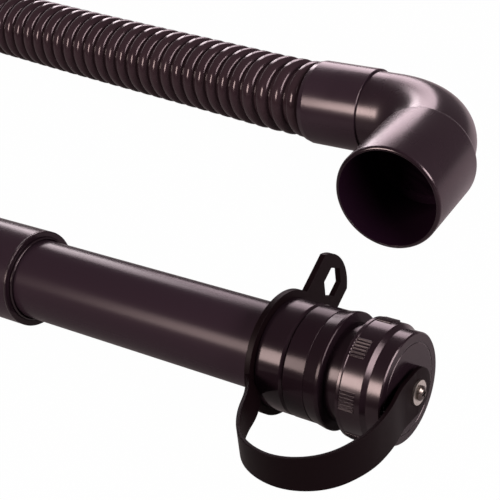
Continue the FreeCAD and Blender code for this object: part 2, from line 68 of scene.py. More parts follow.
# The tube's axis, the ends of the pieces along it and the elbow's axis, all
# read from the frame
TUBE_LOW, TUBE_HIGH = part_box("outer_tube")
AXIS_Y = (TUBE_LOW[1] + TUBE_HIGH[1]) / 2
AXIS_Z = (TUBE_LOW[2] + TUBE_HIGH[2]) / 2
CAP_FACE_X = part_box("coupling_body")[1][0] + CAP_PAST_COUPLING
RING_X = sum(corner[0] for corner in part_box("tether_ring")) / 2
CUFF_LOW, CUFF_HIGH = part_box("front_cuff")
ELBOW_Y = (CUFF_LOW[1] + CUFF_HIGH[1]) / 2
ELBOW_Z = (CUFF_LOW[2] + CUFF_HIGH[2]) / 2

# The middle of the pipe socket's rim, seen from above, in metres
SOCKET_RIM = (0.24935, 0.2710)

# The hose's route, in metres: out of the tail cuff, round one loop on the
# ground at the left, and back along the line that the photograph shows
HOSE_ROUTE = (
    (-0.4014, 0.0157, 0.0520),
    (-0.5403, 0.0157, 0.0520),
    (-0.7318, -0.0403, 0.0437),
    (-0.9398, -0.1723, 0.0437),
    (-1.1868, -0.1563, 0.0437),
    (-1.3758, 0.0017, 0.0437),
    (-1.4368, 0.2407, 0.0437),
    (-1.3448, 0.4697, 0.0437),
    (-1.1358, 0.6007, 0.0437),
    (-0.8028, 0.5772, 0.0437),
    (-0.5308, 0.5407, 0.0437),
    (-0.3728, 0.5177, 0.0437),
    (-0.2128, 0.4957, 0.0445),
    (-0.0678, 0.4697, 0.0490),
    (0.0202, 0.4487, 0.0540),
    (0.1084, 0.4437, 0.0552),
)

# The strap's line seen from above, in metres: along the tube and away from its
# axis, from the ring round to the screw on the cap, and the twist there
STRAP_LINE = (
    (RING_X, -0.0450, 0.35),
    (RING_X + 0.0138, -0.0620, 0.25),
    (RING_X + 0.0233, -0.0970, 0.0),
    (RING_X + 0.0428, -0.1220, 0.0),
    (CAP_FACE_X - 0.0360, -0.1295, 0.0),
    (CAP_FACE_X - 0.0040, -0.1130, 0.0),
    (CAP_FACE_X + 0.0110, -0.0800, 0.0),
    (CAP_FACE_X + 0.0115, -0.0480, 0.0),
    (CAP_FACE_X + 0.0065, -0.0240, 0.0),
    (CAP_FACE_X + 0.0065, -0.0130, 0.0),
    (CAP_FACE_X + 0.0065, 0.0206, 0.0),
)

# One rib of the hose: how far along the pitch, and how high over the root
RIB_OUTLINE = (
    (0.00, 0.00),
    (0.03, 0.22),
    (0.07, 0.50),
    (0.13, 0.76),
    (0.21, 0.93),
    (0.30, 1.00),
    (0.48, 1.00),
    (0.57, 0.93),
    (0.65, 0.76),
    (0.71, 0.50),
    (0.75, 0.22),
    (0.78, 0.00),
)

# The elbow's material slots
OUTSIDE, BORE, RIM = range(3)

# The socket's buffed rim, as a part of its rounding, and the play between its
# hub and the bend, in metres
BUFFED_PART = 0.6
HUB_PLAY = 0.00005

# The strap's straight stretch next to its round end, in metres
STRAP_NECK = 0.002

# Two points nearer than this are the same point, and a face nearer than this
# to a surface is a part of it, in metres
SAME_PLACE = 1e-5
SAME_FACE = 0.0002

# The gloss of the black pieces takes on a trace of their brown-violet dye
SHEEN_TINT = "#ffe6ee"

# The studio's white as the gloss shows it: a little pinker than white
MIRRORED_WHITE = "#ffdfe8"

# The paper's own grey where lamps light it, and the light of the room
PAPER_GREY = "#8f8c8d"
ROOM_LIGHT = "#f4f1f3"

# The skins of the plastics: the width and the height of their grain, in
# metres, and for a drawn tube how far the grain is stretched along it
DRAWN = {"grain": 0.0020, "relief": 0.00002, "stretch": (0.05, 1, 1)}
POLISHED = {"grain": 0.0030, "relief": 0.00001}
SATIN = {"grain": 0.0022, "relief": 0.00002}

# Faint clouds in a plastic's skin: their size in metres, how much lighter they
# are, how they change its roughness, and where most values of a noise lie
CLOUD_SIZE = 0.060
CLOUD_LIGHTER = 1.35
CLOUD_SMOOTHER = 0.03
CLOUD_ROUGHER = 0.04
NOISE_LOW, NOISE_HIGH = 0.3, 0.7

# The cap's marks, in metres: the radius and the half width of the ring cut in
# its face, and the radius beyond which its grip ribs stand; then how rough the
# ribs are, and the part of the gloss that they lack
FACE_RING_RADIUS = 0.0370
FACE_RING_HALF = 0.0008
GRIP_RADIUS = 0.0486
GRIP_ROUGHNESS = 0.34
GRIP_GLOSS_LOSS = 0.5

# The fine lines on metal: their width and height in metres, and how they
# change its roughness
LINE_WIDTH = 0.0012
LINE_HEIGHT = 0.00005
LINE_SMOOTHER = 0.08
LINE_ROUGHER = 0.10

# The lamps: name, place, the point that it faces, width, height, watts, colour
MIDDLE = (0.20, 0.10, 0.05)
LAMPS = (
    # The long highlight along the front of each tube
    ("front_box", (-1.15, -2.98, 1.37), MIDDLE, 1.60, 1.30, 195, "#fff6ea"),
    # The cap's face and the tubes' right ends
    ("right_box", (1.94, 0.05, 0.99), (0.38, 0.0, 0.09), 1.50, 0.75, 84, "#fff8f6"),
    # The pale line along the tubes' tops
    ("back_box", (-2.24, 2.58, 1.40), MIDDLE, 0.60, 1.80, 30, "#fff0f5"),
    # The sheen over the bend and the socket's top
    ("sheen_box", (-1.32, 2.80, 1.15), (0.25, 0.40, 0.05), 1.00, 1.40, 23, "#ffe9f1"),
    # A low light on the hose's ribs
    ("left_box", (-2.62, 1.45, 0.34), (-0.05, 0.45, 0.05), 1.20, 0.90, 7, "#fff4f7"),
)

FLOOR_HALF = 12
FLOOR_BELOW = 0.0005

# How white the camera sees it, and how white the gloss sees it: a painted pool
# of light on the floor, seen only in reflections, which brightens and then
# fades along this way, between two distances, from one level to another
FLOOR_WHITE = 0.99
PAINTED_GLOW_WAY = (1, 0.9, 0)
PAINTED_GLOW_STEPS = (
    (0.40, 0.86, 0.07, 0.56),
    (0.90, 2.00, 1.00, 0.12),
)

# The room's light on matt surfaces, the part of it that gloss takes, and how
# much of the studio's white gloss shows
ROOM_STRENGTH = 0.40
ROOM_IN_GLOSS = 0.06
WHITE_IN_GLOSS = 0.17

# The width of the camera's picture plane, in millimetres
SENSOR_WIDTH = 36.0


class HoseSizes(bpy.types.PropertyGroup):
    """Sizes of the ribbed hose."""

    length: FloatProperty(
        name="Length", description="Real length of the hose",
        default=3.048, unit="LENGTH", subtype="DISTANCE",
    )
    crest_radius: FloatProperty(
        name="Crest Radius", description="Outer radius over the ribs",
        default=0.0435, unit="LENGTH", subtype="DISTANCE",
    )
    root_radius: FloatProperty(
        name="Root Radius", description="Outer radius between the ribs",
        default=0.0370, unit="LENGTH", subtype="DISTANCE",
    )
    bore_radius: FloatProperty(
        name="Bore Radius", description="Radius of the bore",
        default=0.0358, unit="LENGTH", subtype="DISTANCE",
    )
    pitch: FloatProperty(
        name="Rib Pitch", description="Distance from one rib to the next",
        default=0.0210, unit="LENGTH", subtype="DISTANCE",
    )
    around: IntProperty(
        name="Segments", description="Segments round the hose",
        default=48,
    )


class ElbowSizes(bpy.types.PropertyGroup):
    """Sizes of the bend and its pipe socket."""

    spigot_radius: FloatProperty(
        name="Spigot Radius", description="Outer radius of the bend",
        default=0.04445, unit="LENGTH", subtype="DISTANCE",
    )
    bore_radius: FloatProperty(
        name="Bore Radius", description="Radius of the bend's bore",
        default=0.04125, unit="LENGTH", subtype="DISTANCE",
    )
    bend_radius: FloatProperty(
        name="Bend Radius", description="Radius of the bend's own line",
        default=0.080, unit="LENGTH", subtype="DISTANCE",
    )
    turn: FloatProperty(
        name="Turn", description="Angle that the bend turns through",
        default=math.radians(85), subtype="ANGLE", unit="ROTATION",
    )
    socket_radius: FloatProperty(
        name="Socket Radius", description="Outer radius of the pipe socket",
        default=0.0552, unit="LENGTH", subtype="DISTANCE",
    )
    socket_bore: FloatProperty(
        name="Socket Bore", description="Bore radius of the pipe socket",
        default=0.0512, unit="LENGTH", subtype="DISTANCE",
    )
    socket_depth: FloatProperty(
        name="Socket Depth", description="How far the sewer pipe goes in",
        default=0.090, unit="LENGTH", subtype="DISTANCE",
    )
    shoulder: FloatProperty(
        name="Shoulder", description="Radius of the socket's rounded shoulder",
        default=0.009, unit="LENGTH", subtype="DISTANCE",
    )
    rim: FloatProperty(
        name="Rim", description="Radius of the socket's rounded rim",
        default=0.0034, unit="LENGTH", subtype="DISTANCE",
    )
    hub: FloatProperty(
        name="Hub", description="How far the socket grips the bend's end",
        default=0.0115, unit="LENGTH", subtype="DISTANCE",
    )
    groove_start: FloatProperty(
        name="Groove Start", description="From the rim to the seal's groove",
        default=0.006, unit="LENGTH", subtype="DISTANCE",
    )
    groove_width: FloatProperty(
        name="Groove Width", description="Width of the seal's groove",
        default=0.006, unit="LENGTH", subtype="DISTANCE",
    )
    groove_depth: FloatProperty(
        name="Groove Depth", description="Depth of the seal's groove",
        default=0.002, unit="LENGTH", subtype="DISTANCE",
    )


class StrapSizes(bpy.types.PropertyGroup):
    """Sizes of the flat strap."""

    thickness: FloatProperty(
        name="Thickness", description="Thickness of the strap",
        default=0.003, unit="LENGTH", subtype="DISTANCE",
    )
    root_half: FloatProperty(
        name="Root Half Width", description="Half the width at the ring",
        default=0.0115, unit="LENGTH", subtype="DISTANCE",
    )
    middle_half: FloatProperty(
        name="Middle Half Width", description="Half the width where the strap turns back",
        default=0.0135, unit="LENGTH", subtype="DISTANCE",
    )
    middle_place: FloatProperty(
        name="Middle Place", description="Where the middle width lies, as a part of the length",
        default=0.42,
    )
    end_half: FloatProperty(
        name="End Half Width", description="Radius of the round end at the screw",
        default=0.0196, unit="LENGTH", subtype="DISTANCE",
    )
    hole_radius: FloatProperty(
        name="Hole Radius", description="Radius of the screw's hole",
        default=0.00325, unit="LENGTH", subtype="DISTANCE",
    )
    edge: FloatProperty(
        name="Edge", description="Width of the strap's softened edges",
        default=0.0005, unit="LENGTH", subtype="DISTANCE",
    )


class Finishes(bpy.types.PropertyGroup):
    tube_black: StringProperty(
        name="Tube Black", description="Extruded tubes and cuffs", default="#1b1218")
    moulded_black: StringProperty(
        name="Moulded Black", description="Moulded fittings and cap", default="#0f080c")
    hose_black: StringProperty(
        name="Hose Black", description="Ribbed hose", default="#1f1519")
    strap_black: StringProperty(
        name="Strap Black", description="Flexible tether", default="#070304")
    seal_black: StringProperty(
        name="Seal Black", description="Rubber seals", default="#090407")
    elbow_black: StringProperty(
        name="Elbow Black", description="Bend and socket", default="#120a0f")
    # Painted shade: the bore's tone, and the glossless finish made with it, stand in for the
    # shade inside the bend and the socket
    shaded_bore_black: StringProperty(
        name="Bore Black", description="Inside of the bend and the socket", default="#10050e")
    steel: StringProperty(
        name="Steel", description="Washer", default="#d2ccc4")
    screw_steel: StringProperty(
        name="Screw Steel", description="Screw", default="#5c5451")
    brass: StringProperty(
        name="Brass", description="Screw insert", default="#b08d4a")


class StageSettings(bpy.types.PropertyGroup):
    azimuth: FloatProperty(
        name="Azimuth", description="Angle of the camera round the kit",
        default=math.radians(38.10), subtype="ANGLE", unit="ROTATION",
    )
    elevation: FloatProperty(
        name="Elevation", description="Angle of the camera over the ground",
        default=math.radians(29.74), subtype="ANGLE", unit="ROTATION",
    )
    roll: FloatProperty(
        name="Roll", description="Tilt of the picture",
        default=math.radians(7.0), subtype="ANGLE", unit="ROTATION",
    )
    distance: FloatProperty(
        name="Distance", description="From the camera to the point it looks at",
        default=1.2006, unit="LENGTH", subtype="DISTANCE",
    )
    target: FloatVectorProperty(
        name="Target", description="The point that the camera looks at",
        default=(0.1772, 0.1426, 0.0500), unit="LENGTH", subtype="TRANSLATION",
    )
    lens: FloatProperty(
        name="Lens", description="Focal length on a 36 mm sensor",
        default=93.6, unit="CAMERA",
    )


def linear(hex_colour):
    """An sRGB hex value as linear red, green, blue and alpha."""
    channels = []
    for start in (1, 3, 5):
        value = int(hex_colour[start:start + 2], 16) / 255
        if value <= 0.04045:
            channels.append(value / 12.92)
        else:
            channels.append(((value + 0.055) / 1.055) ** 2.4)
    return (*channels, 1.0)


def add_node(tree, kind, settings=None, links=None):
    """Adds a node, sets its properties and inputs, and links its inputs."""
    node = tree.nodes.new(kind)
    for name, value in (settings or {}).items():
        if isinstance(name, str) and hasattr(node, name):
            setattr(node, name, value)
        else:
            node.inputs[name].default_value = value
    for name, source in (links or {}).items():
        tree.links.new(source, node.inputs[name])
    return node


def new_material(name):
    """An empty node material and its tree."""
    material = bpy.data.materials.new(name)
    material.use_nodes = True
    material.node_tree.nodes.clear()
    return material, material.node_tree


def black_plastic(name, colour, roughness, shine, grain, relief, stretch=(1, 1, 1),
                  edge=0.0006, marks=None):
    """A dyed-through plastic: almost black, with a fine grain whose width and
    height are in metres, faint clouds in the gloss, and edges that a mould
    leaves slightly round. A function given as marks adds a piece's own."""
    material, tree = new_material(name)
    place = add_node(tree, "ShaderNodeTexCoord")
    spread = add_node(tree, "ShaderNodeMapping", {"Scale": stretch},
                      {"Vector": place.outputs["Object"]})
    cloud = add_node(tree, "ShaderNodeTexNoise",
                     {"Scale": 1 / CLOUD_SIZE, "Detail": 3.0, "Roughness": 0.55},
                     {"Vector": spread.outputs["Vector"]})
    fine = add_node(tree, "ShaderNodeTexNoise",
                    {"Scale": 1 / grain, "Detail": 2.0, "Roughness": 0.5},
                    {"Vector": spread.outputs["Vector"]})
    gloss = add_node(tree, "ShaderNodeMapRange",
                     {"From Min": NOISE_LOW, "From Max": NOISE_HIGH,
                      "To Min": roughness - CLOUD_SMOOTHER,
                      "To Max": roughness + CLOUD_ROUGHER},
                     {"Value": cloud.outputs["Fac"]})
    dark = linear(colour)
    light = (*(CLOUD_LIGHTER * part for part in dark[:3]), 1.0)
    tone = add_node(tree, "ShaderNodeMix", {"data_type": "RGBA", 6: dark, 7: light},
                    {0: cloud.outputs["Fac"]})
    rounded = add_node(tree, "ShaderNodeBevel", {"samples": 6, "Radius": edge})
    bump = add_node(tree, "ShaderNodeBump", {"Strength": 0.5, "Distance": relief},
                    {"Height": fine.outputs["Fac"], "Normal": rounded.outputs["Normal"]})
    links = {"Base Color": tone.outputs[2], "Roughness": gloss.outputs["Result"],
             "Normal": bump.outputs["Normal"]}
    if marks:
        links.update(marks(tree, place, gloss, bump, shine))
    shader = add_node(tree, "ShaderNodeBsdfPrincipled",
                      {"Specular IOR Level": shine, "Specular Tint": linear(SHEEN_TINT)},
                      links)
    add_node(tree, "ShaderNodeOutputMaterial", None, {"Surface": shader.outputs["BSDF"]})
    return material


def cap_marks(tree, place, gloss, bump, shine):
    """The cap's own marks: a ring cut in its face about the tube's axis, and
    grip ribs with a duller skin."""
    centred = add_node(tree, "ShaderNodeVectorMath",
                       {"operation": "SUBTRACT", 1: (0, AXIS_Y, AXIS_Z)},
                       {0: place.outputs["Object"]})
    flat = add_node(tree, "ShaderNodeVectorMath", {"operation": "MULTIPLY", 1: (0, 1, 1)},
                    {0: centred.outputs["Vector"]})
    radius = add_node(tree, "ShaderNodeVectorMath", {"operation": "LENGTH"},
                      {0: flat.outputs["Vector"]})
    away = add_node(tree, "ShaderNodeMath", {"operation": "SUBTRACT", 1: FACE_RING_RADIUS},
                    {0: radius.outputs["Value"]})
    apart = add_node(tree, "ShaderNodeMath", {"operation": "ABSOLUTE"},
                     {0: away.outputs["Value"]})
    height = add_node(tree, "ShaderNodeMath", {"operation": "MINIMUM", 1: FACE_RING_HALF},
                      {0: apart.outputs["Value"]})
    cut = add_node(tree, "ShaderNodeBump", {"Strength": 1.0, "Distance": 1.0},
                   {"Height": height.outputs["Value"], "Normal": bump.outputs["Normal"]})
    ribs = add_node(tree, "ShaderNodeMath", {"operation": "GREATER_THAN", 1: GRIP_RADIUS},
                    {0: radius.outputs["Value"]})
    skin = add_node(tree, "ShaderNodeMix", {"data_type": "FLOAT", 3: GRIP_ROUGHNESS},
                    {0: ribs.outputs["Value"], 2: gloss.outputs["Result"]})
    level = add_node(tree, "ShaderNodeMath",
                     {"operation": "MULTIPLY_ADD", 1: -GRIP_GLOSS_LOSS * shine, 2: shine},
                     {0: ribs.outputs["Value"]})
    return {"Roughness": skin.outputs[0], "Normal": cut.outputs["Normal"],
            "Specular IOR Level": level.outputs["Value"]}


def bright_metal(name, colour, roughness, stretch=(1, 1, 1)):
    """A turned or rolled metal, with fine lines in its gloss."""
    material, tree = new_material(name)
    place = add_node(tree, "ShaderNodeTexCoord")
    spread = add_node(tree, "ShaderNodeMapping", {"Scale": stretch},
                      {"Vector": place.outputs["Object"]})
    lines = add_node(tree, "ShaderNodeTexNoise",
                     {"Scale": 1 / LINE_WIDTH, "Detail": 4.0, "Roughness": 0.6},
                     {"Vector": spread.outputs["Vector"]})
    gloss = add_node(tree, "ShaderNodeMapRange",
                     {"To Min": roughness - LINE_SMOOTHER, "To Max": roughness + LINE_ROUGHER},
                     {"Value": lines.outputs["Fac"]})
    bump = add_node(tree, "ShaderNodeBump", {"Strength": 0.3, "Distance": LINE_HEIGHT},
                    {"Height": lines.outputs["Fac"]})
    shader = add_node(tree, "ShaderNodeBsdfPrincipled",
                      {"Base Color": linear(colour), "Metallic": 1.0},
                      {"Roughness": gloss.outputs["Result"],
                       "Normal": bump.outputs["Normal"]})
    add_node(tree, "ShaderNodeOutputMaterial", None, {"Surface": shader.outputs["BSDF"]})
    return material


def paint(node_names, material):
    """Gives CAD nodes a material."""
    for name in node_names:
        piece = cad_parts[name]
        piece.data.materials.clear()
        piece.data.materials.append(material)


def object_from(name, data):
    """A new object in the scene that holds a mesh, curve, lamp or camera."""
    piece = bpy.data.objects.new(name, data)
    bpy.context.scene.collection.objects.link(piece)
    return piece


def spun(outline, steps):
    """A closed outline of (along, radius) points, spun about the X axis."""
    shape = bmesh.new()
    verts = [shape.verts.new((along, radius, 0)) for along, radius in outline]
    for first, second in zip(verts, verts[1:] + verts[:1]):
        shape.edges.new((first, second))
    bmesh.ops.spin(
        shape, geom=shape.verts[:] + shape.edges[:], cent=(0, 0, 0), axis=(1, 0, 0),
        angle=2 * math.pi, steps=steps, use_merge=True,
    )
    bmesh.ops.remove_doubles(shape, verts=shape.verts, dist=1e-6)
    bmesh.ops.recalc_face_normals(shape, faces=shape.faces)
    return shape


def round_corner(shape, along, radius, amount, segments):
    """Rounds one corner of a spun outline, all the way round."""
    corner = []
    for edge in shape.edges:
        if all(abs(vert.co.x - along) < SAME_PLACE
               and abs(vert.co.yz.length - radius) < SAME_PLACE for vert in edge.verts):
            corner.append(edge)
    bmesh.ops.bevel(
        shape, geom=corner, offset=amount, segments=segments, profile=0.5,
        affect="EDGES", material=-1,
    )


def extruded(shape, edges, way):
    """Extrudes a chain of edges by a vector; the new chain."""
    made = bmesh.ops.extrude_edge_only(shape, edges=edges)["geom"]
    verts = [item for item in made if isinstance(item, bmesh.types.BMVert)]
    bmesh.ops.translate(shape, verts=verts, vec=way)
    found = set(verts)
    return [item for item in made if isinstance(item, bmesh.types.BMEdge)
            and item.verts[0] in found and item.verts[1] in found]


def finished(name, shape, sharp=35):
    """Turns a bmesh into an object with smooth faces and sharp corners."""
    mesh = bpy.data.meshes.new(name)
    shape.to_mesh(mesh)
    shape.free()
    mesh.polygons.foreach_set("use_smooth", [True] * len(mesh.polygons))
    mesh.set_sharp_from_angle(angle=math.radians(sharp))
    return object_from(name, mesh)


def nurbs_route(name, points, tilts=None):
    """A smooth curve through control points in metres."""
    curve = bpy.data.curves.new(name, "CURVE")
    curve.dimensions = "3D"
    curve.twist_mode = "Z_UP"
    curve.resolution_u = 24
    spline = curve.splines.new("NURBS")
    spline.points.add(len(points) - 1)
    for point, place, tilt in zip(spline.points, points, tilts or [0] * len(points)):
        point.co = (*place, 1.0)
        point.tilt = tilt
    spline.order_u = 3
    spline.use_endpoint_u = True
    return object_from(name, curve)


def points_along(route):
    """The points that a curve runs through, and its length."""
    graph = bpy.context.evaluated_depsgraph_get()
    line = bpy.data.meshes.new_from_object(route.evaluated_get(graph))
    points = [vertex.co.copy() for vertex in line.vertices]
    return points, sum((b - a).length for a, b in zip(points, points[1:]))


def laid(piece, route):
    """Lays a straight piece along a curve, which is then taken away."""
    lay = piece.modifiers.new("Lay", "CURVE")
    lay.object = route
    lay.deform_axis = "POS_X"
    graph = bpy.context.evaluated_depsgraph_get()
    mesh = bpy.data.meshes.new_from_object(piece.evaluated_get(graph))
    piece.modifiers.clear()
    piece.data = mesh
    bpy.data.objects.remove(route)


class KIT_OT_hose(bpy.types.Operator):
    """Model the ribbed hose and lay it along its route"""

    bl_idname = "kit.hose"
    bl_label = "Ribbed Hose"

    def execute(self, context):
        sizes = context.scene.kit_hose
        route = nurbs_route("hose_route", HOSE_ROUTE)
        points, length = points_along(route)
        hose = finished("ribbed_hose", self.straight_hose(sizes, length), sharp=60)
        laid(hose, route)
        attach(hose, "outer")
        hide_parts("hose_loop", "hose_front")
        return {"FINISHED"}

    def straight_hose(self, sizes, length):
        """A straight hose along X: its wall's outline, spun about the axis."""
        count = round(length / sizes.pitch)
        pitch = length / count
        depth = sizes.crest_radius - sizes.root_radius
        outline = []
        for rib in range(count):
            for part, height in RIB_OUTLINE:
                outline.append(((rib + part) * pitch, sizes.root_radius + height * depth))
        outline.append((length, sizes.root_radius))
        outline += [(step * pitch, sizes.bore_radius) for step in range(count, -1, -1)]
        return spun(outline, sizes.around)


class KIT_OT_elbow(bpy.types.Operator):
    """Model the bend and its wide pipe socket"""

    bl_idname = "kit.elbow"
    bl_label = "Elbow and Socket"

    def execute(self, context):
        sizes = context.scene.kit_elbow
        spigot_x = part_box("elbow")[0][0]
        out = Vector((math.cos(sizes.turn), -math.sin(sizes.turn), 0))
        rim = Vector((*SOCKET_RIM, ELBOW_Z))
        stop = rim - out * sizes.socket_depth
        corner_x = stop.x - (ELBOW_Y - stop.y) / math.tan(sizes.turn)
        bend_x = corner_x - sizes.bend_radius * math.tan(sizes.turn / 2)
        shape = bmesh.new()
        outside = self.pipe(shape, sizes, sizes.spigot_radius, spigot_x, bend_x, stop)
        skin = set(shape.faces)
        inside = self.pipe(shape, sizes, sizes.bore_radius, spigot_x, bend_x, stop)
        for outer_ring, inner_ring in zip(outside, inside):
            bmesh.ops.bridge_loops(shape, edges=outer_ring + inner_ring)
        bmesh.ops.recalc_face_normals(shape, faces=shape.faces)
        # The bend's inner skin takes the bore's finish, painted shade
        for face in shape.faces:
            face.material_index = OUTSIDE if face in skin else BORE
        bend = finished("elbow_bend", shape)
        socket = finished("socket_shell", self.socket(sizes, rim))
        for piece, node in ((bend, "elbow"), (socket, "pipe_socket")):
            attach(piece, "elbow")
            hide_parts(node)
        return {"FINISHED"}

    def pipe(self, shape, sizes, radius, spigot_x, bend_x, stop):
        """One skin of the bend: its first and its last ring of edges."""
        ring = bmesh.ops.create_circle(shape, cap_ends=False, segments=72, radius=radius)
        upright = Matrix.Rotation(math.pi / 2, 4, "Y")
        place = Matrix.Translation((spigot_x, ELBOW_Y, ELBOW_Z)) @ upright
        bmesh.ops.transform(shape, matrix=place, verts=ring["verts"])
        first = list({edge for vert in ring["verts"] for edge in vert.link_edges})
        straight = extruded(shape, first, Vector((bend_x - spigot_x, 0, 0)))
        verts = list({vert for edge in straight for vert in edge.verts})
        turned = bmesh.ops.spin(
            shape, geom=verts + straight, cent=(bend_x, ELBOW_Y - sizes.bend_radius, ELBOW_Z),
            axis=(0, 0, 1), angle=-sizes.turn, steps=28,
        )
        bent = [item for item in turned["geom_last"] if isinstance(item, bmesh.types.BMEdge)]
        ends = [vert.co for edge in bent for vert in edge.verts]
        middle = sum(ends, Vector()) / len(ends)
        return first, extruded(shape, bent, stop - middle)

    def socket(self, sizes, rim):
        """The socket, with a rounded shoulder at the bend, a rounded rim and
        the groove that its seal sits in."""
        back = sizes.socket_depth + sizes.hub
        seat = sizes.spigot_radius + HUB_PLAY
        groove = sizes.socket_bore + sizes.groove_depth
        groove_end = sizes.groove_start + sizes.groove_width
        shape = spun((
            (0, sizes.socket_bore),
            (0, sizes.socket_radius),
            (back, sizes.socket_radius),
            (back, seat),
            (sizes.socket_depth, seat),
            (sizes.socket_depth, sizes.socket_bore),
            (groove_end, sizes.socket_bore),
            (groove_end, groove),
            (sizes.groove_start, groove),
            (sizes.groove_start, sizes.socket_bore),
        ), 96)
        round_corner(shape, 0, sizes.socket_radius, sizes.rim, 6)
        round_corner(shape, back, sizes.socket_radius, sizes.shoulder, 8)
        # The buffed rim takes its own finish; the faces inside the socket take the bore's,
        # painted shade
        for face in shape.faces:
            middle = face.calc_center_median()
            radius = middle.yz.length
            if middle.x < sizes.rim * BUFFED_PART and radius > sizes.socket_bore + SAME_FACE:
                face.material_index = RIM
            elif middle.x < sizes.socket_depth + SAME_FACE and radius < groove + SAME_FACE:
                face.material_index = BORE
        turn = Matrix.Rotation(math.pi - sizes.turn, 4, "Z")
        bmesh.ops.transform(shape, matrix=Matrix.Translation(rim) @ turn, verts=shape.verts)
        return shape


class KIT_OT_strap(bpy.types.Operator):
    """Model the flat strap from the ring round to the cap's screw"""

    bl_idname = "kit.strap"
    bl_label = "Tether Strap"

    def execute(self, context):
        sizes = context.scene.kit_strap
        places = [(x, AXIS_Y + y, AXIS_Z) for x, y, twist in STRAP_LINE]
        route = nurbs_route("strap_route", places, [twist for x, y, twist in STRAP_LINE])
        screw = points_along(route)[1] - STRAP_LINE[-1][1]
        strap = finished("tether_strap_flat", self.flat_strap(sizes, screw))
        solid = strap.modifiers.new("Thickness", "SOLIDIFY")
        solid.thickness = sizes.thickness
        solid.offset = 0
        edge = strap.modifiers.new("Edge", "BEVEL")
        edge.width = sizes.edge
        edge.segments = 3
        edge.limit_method = "ANGLE"
        edge.angle_limit = math.radians(50)
        laid(strap, route)
        strap.data.polygons.foreach_set("use_smooth", [True] * len(strap.data.polygons))
        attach(strap, "tether")
        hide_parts("tether_strap")
        return {"FINISHED"}

    def half_width(self, sizes, part):
        """Half the strap's width, a part of the way from the ring to the screw."""
        if part < sizes.middle_place:
            share = part / sizes.middle_place
            return sizes.root_half + (sizes.middle_half - sizes.root_half) * share
        share = (part - sizes.middle_place) / (1 - sizes.middle_place)
        return sizes.middle_half + (sizes.end_half - sizes.middle_half) * share

    def flat_strap(self, sizes, screw):
        """The strap laid flat: a round end about the screw's hole, drawn out
        to the ring and narrowing on the way."""
        centre = Vector((screw, 0, 0))
        shape = bmesh.new()
        inner = shape.verts.new((screw + sizes.hole_radius, 0, 0))
        outer = shape.verts.new((screw + sizes.end_half, 0, 0))
        shape.edges.new((inner, outer))
        bmesh.ops.spin(
            shape, geom=shape.verts[:] + shape.edges[:], cent=centre, axis=(0, 1, 0),
            angle=2 * math.pi, steps=48, use_merge=True,
        )
        near = []
        for line in shape.edges:
            outside = all((vert.co - centre).length > sizes.end_half - SAME_PLACE
                          for vert in line.verts)
            if outside and sum(vert.co.x for vert in line.verts) / 2 < screw:
                near.append(line)
        start = screw - sizes.end_half - STRAP_NECK
        steps = 60
        half = sizes.end_half
        for step in range(steps + 1):
            along = start * (1 - step / steps)
            wide = self.half_width(sizes, along / screw)
            near = extruded(shape, near, Vector((0, 0, 0)))
            verts = list({vert for line in near for vert in line.verts})
            bmesh.ops.scale(
                shape, verts=verts, vec=(0, 1, wide / half),
                space=Matrix.Translation((-verts[0].co.x, 0, 0)),
            )
            bmesh.ops.translate(shape, verts=verts, vec=(along - verts[0].co.x, 0, 0))
            half = wide
        bmesh.ops.recalc_face_normals(shape, faces=shape.faces)
        return shape


